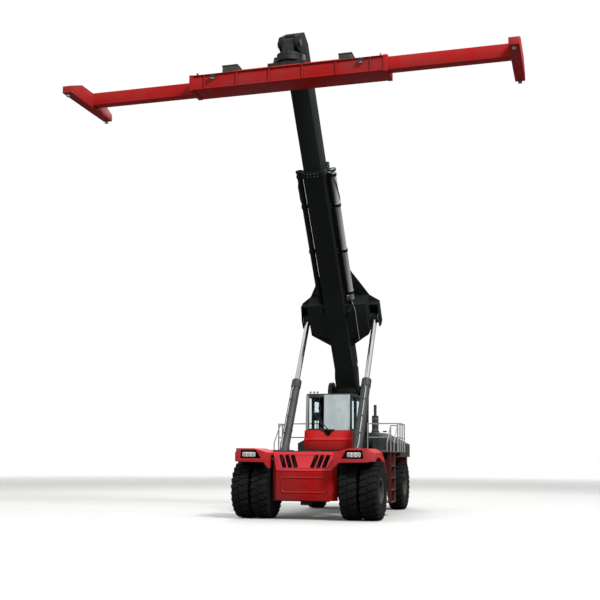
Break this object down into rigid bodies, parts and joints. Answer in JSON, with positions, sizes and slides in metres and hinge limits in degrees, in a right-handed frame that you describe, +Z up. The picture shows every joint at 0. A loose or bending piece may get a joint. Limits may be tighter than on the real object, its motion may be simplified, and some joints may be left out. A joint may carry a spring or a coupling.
{
  "type": "container reach stacker",
  "caption": "Wheeled container handler with a raised telescopic boom, lift cylinders, glazed cab and a telescopic top spreader with turning corner locks.",
  "frame": {"origin": "on the ground under the middle of the whole machine as parked, boom raised and spreader opened out", "axes": "+Z up, -Y towards the front of the machine, where the boom points; +X is the machine's left"},
  "size_m": [12.245, 10.9049, 13.3289],
  "materials": {
    "red_upper": "semi-gloss",
    "red_lower": "semi-gloss",
    "cab_red": "semi-gloss",
    "boom_black": "satin",
    "chassis_black": "satin",
    "axle_grey": "matt",
    "barrel_grey": "semi-gloss",
    "rim_grey": "satin",
    "rod_chrome": "polished",
    "pipe_grey": "satin",
    "tyre_black": "matt",
    "cab_frame": "satin",
    "pane": "polished",
    "trim_plastic": "matt",
    "lamp_lens": "polished",
    "side_green": "satin",
    "rail_grey": "satin",
    "deck_plate": "worn",
    "engine_grey": "matt",
    "stack_grey": "matt",
    "lock_steel": "worn"
  },
  "bodies": {
    "chassis": {"chassis_frame": "chassis_black", "drive_axle": "axle_grey", "front_hood": "red_lower", "mudguards": "red_upper", "lamps": "lamp_lens", "steer_axle": "axle_grey", "counterweight": "red_lower", "engine_block": "engine_grey", "engine_cover": "side_green", "side_tanks": "side_green", "platforms": "deck_plate", "handrails": "rail_grey", "exhaust_and_filter": "stack_grey", "cab_base": "cab_red", "cab_shell": "cab_frame", "cab_glass": "pane", "cab_interior": "trim_plastic"},
    "door_left": {"door_left": "cab_frame", "door_glass_left": "pane"},
    "door_right": {"door_right": "cab_frame", "door_glass_right": "pane"},
    "drive_wheel_left": {"drive_tyres_left": "tyre_black", "drive_rims_left": "rim_grey"},
    "drive_wheel_right": {"drive_tyres_right": "tyre_black", "drive_rims_right": "rim_grey"},
    "knuckle_left": {"knuckle_left": "axle_grey"},
    "knuckle_right": {"knuckle_right": "axle_grey"},
    "steer_wheel_left": {"steer_tyre_left": "tyre_black", "steer_rim_left": "rim_grey"},
    "steer_wheel_right": {"steer_tyre_right": "tyre_black", "steer_rim_right": "rim_grey"},
    "steer_rod": {"steer_rod": "rod_chrome", "steer_links": "axle_grey"},
    "boom": {"boom_outer": "boom_black", "boom_pipes": "pipe_grey"},
    "boom_ext": {"boom_inner": "boom_black"},
    "lift_barrel_left": {"lift_barrel_left": "barrel_grey"},
    "lift_barrel_right": {"lift_barrel_right": "barrel_grey"},
    "lift_rod_left": {"lift_rod_left": "rod_chrome"},
    "lift_rod_right": {"lift_rod_right": "rod_chrome"},
    "head": {"head_yoke": "chassis_black"},
    "rotator": {"rotator": "chassis_black"},
    "spreader": {"spreader_frame": "red_lower"},
    "beam_left": {"spreader_beam_left": "red_lower"},
    "beam_right": {"spreader_beam_right": "red_lower"},
    "twistlock_front_left": {"twistlock_front_left": "lock_steel"},
    "twistlock_front_right": {"twistlock_front_right": "lock_steel"},
    "twistlock_rear_left": {"twistlock_rear_left": "lock_steel"},
    "twistlock_rear_right": {"twistlock_rear_right": "lock_steel"}
  },
  "joints": [
    {"name": "drive_wheel_left", "type": "hinge", "parent": "chassis", "child": "drive_wheel_left", "pos_m": [1.534, -2.01173, 0.81], "axis": [1, 0, 0], "continuous": true},
    {"name": "drive_wheel_right", "type": "hinge", "parent": "chassis", "child": "drive_wheel_right", "pos_m": [-1.534, -2.01173, 0.81], "axis": [1, 0, 0], "continuous": true},
    {"name": "steer_left", "type": "hinge", "parent": "chassis", "child": "knuckle_left", "pos_m": [1.154, 3.98827, 0.81], "axis": [0, 0, 1], "range_deg": [-45, 45]},
    {"name": "steer_wheel_left", "type": "hinge", "parent": "knuckle_left", "child": "steer_wheel_left", "pos_m": [1.404, 3.98827, 0.81], "axis": [1, 0, 0], "continuous": true},
    {"name": "steer_right", "type": "hinge", "parent": "chassis", "child": "knuckle_right", "pos_m": [-1.154, 3.98827, 0.81], "axis": [0, 0, 1], "range_deg": [-45, 45]},
    {"name": "steer_wheel_right", "type": "hinge", "parent": "knuckle_right", "child": "steer_wheel_right", "pos_m": [-1.404, 3.98827, 0.81], "axis": [1, 0, 0], "continuous": true},
    {"name": "steer_cylinder", "type": "slide", "parent": "chassis", "child": "steer_rod", "axis": [1, 0, 0], "range_m": [-0.2205, 0.2205]},
    {"name": "door_left", "type": "hinge", "parent": "chassis", "child": "door_left", "pos_m": [0.716, 1.64427, 2.8], "axis": [0, 0, 1], "range_deg": [0, 90]},
    {"name": "door_right", "type": "hinge", "parent": "chassis", "child": "door_right", "pos_m": [-0.716, 1.64427, 2.8], "axis": [0, 0, -1], "range_deg": [0, 90]},
    {"name": "boom_lift", "type": "hinge", "parent": "chassis", "child": "boom", "pos_m": [0, 2.69827, 3.86], "axis": [-1, 0, 0], "range_deg": [-54, 6]},
    {"name": "lift_base_left", "type": "hinge", "parent": "chassis", "child": "lift_barrel_left", "pos_m": [1.1, -1.08173, 1.55], "axis": [-1, 0, 0], "range_deg": [-8.15, 0.95]},
    {"name": "lift_rod_left", "type": "slide", "parent": "lift_barrel_left", "child": "lift_rod_left", "axis": [0, 0.52, 0.8541], "range_m": [-2.24, 0.25]},
    {"name": "lift_base_right", "type": "hinge", "parent": "chassis", "child": "lift_barrel_right", "pos_m": [-1.1, -1.08173, 1.55], "axis": [-1, 0, 0], "range_deg": [-8.15, 0.95]},
    {"name": "lift_rod_right", "type": "slide", "parent": "lift_barrel_right", "child": "lift_rod_right", "axis": [0, 0.52, 0.8541], "range_m": [-2.24, 0.25]},
    {"name": "boom_extend", "type": "slide", "parent": "boom", "child": "boom_ext", "axis": [0, -0.5878, 0.809], "range_m": [-3.05, 2.7]},
    {"name": "head_tilt", "type": "hinge", "parent": "boom_ext", "child": "head", "pos_m": [0, -4.21877, 12.80205], "axis": [-1, 0, 0], "range_deg": [-6.1, 54.1]},
    {"name": "spreader_turn", "type": "hinge", "parent": "head", "child": "rotator", "pos_m": [0, -4.21877, 12.80205], "axis": [0, 0, 1], "range_deg": [-30, 30]},
    {"name": "side_shift", "type": "slide", "parent": "rotator", "child": "spreader", "axis": [1, 0, 0], "range_m": [-0.8, 0.8]},
    {"name": "beam_left", "type": "slide", "parent": "spreader", "child": "beam_left", "axis": [1, 0, 0], "range_m": [-3.065, 0]},
    {"name": "beam_right", "type": "slide", "parent": "spreader", "child": "beam_right", "axis": [-1, 0, 0], "range_m": [-3.065, 0]},
    {"name": "twistlock_front_left", "type": "hinge", "parent": "beam_left", "child": "twistlock_front_left", "pos_m": [5.9925, -5.34827, 11.60205], "axis": [0, 0, 1], "range_deg": [0, 90]},
    {"name": "twistlock_front_right", "type": "hinge", "parent": "beam_right", "child": "twistlock_front_right", "pos_m": [-5.9925, -5.34827, 11.60205], "axis": [0, 0, 1], "range_deg": [0, 90]},
    {"name": "twistlock_rear_left", "type": "hinge", "parent": "beam_left", "child": "twistlock_rear_left", "pos_m": [5.9925, -3.08927, 11.60205], "axis": [0, 0, 1], "range_deg": [0, 90]},
    {"name": "twistlock_rear_right", "type": "hinge", "parent": "beam_right", "child": "twistlock_rear_right", "pos_m": [-5.9925, -3.08927, 11.60205], "axis": [0, 0, 1], "range_deg": [0, 90]}
  ],
  "couplings": [
    {"joint": "steer_right", "follows": "steer_left", "ratio": 1},
    {"joint": "steer_cylinder", "follows": "steer_left", "m_per_rad": -0.28},
    {"joint": "beam_right", "follows": "beam_left", "ratio": 1},
    {"joint": "head_tilt", "follows": "boom_lift", "ratio": -1},
    {"joint": "lift_base_left", "follows": "boom_lift", "ratio": 0.15},
    {"joint": "lift_rod_left", "follows": "boom_lift", "m_per_rad": 2.37},
    {"joint": "lift_base_right", "follows": "boom_lift", "ratio": 0.15},
    {"joint": "lift_rod_right", "follows": "boom_lift", "m_per_rad": 2.37},
    {"joint": "twistlock_rear_left", "follows": "twistlock_front_left", "ratio": 1},
    {"joint": "twistlock_front_right", "follows": "twistlock_front_left", "ratio": 1},
    {"joint": "twistlock_rear_right", "follows": "twistlock_front_left", "ratio": 1}
  ]
}
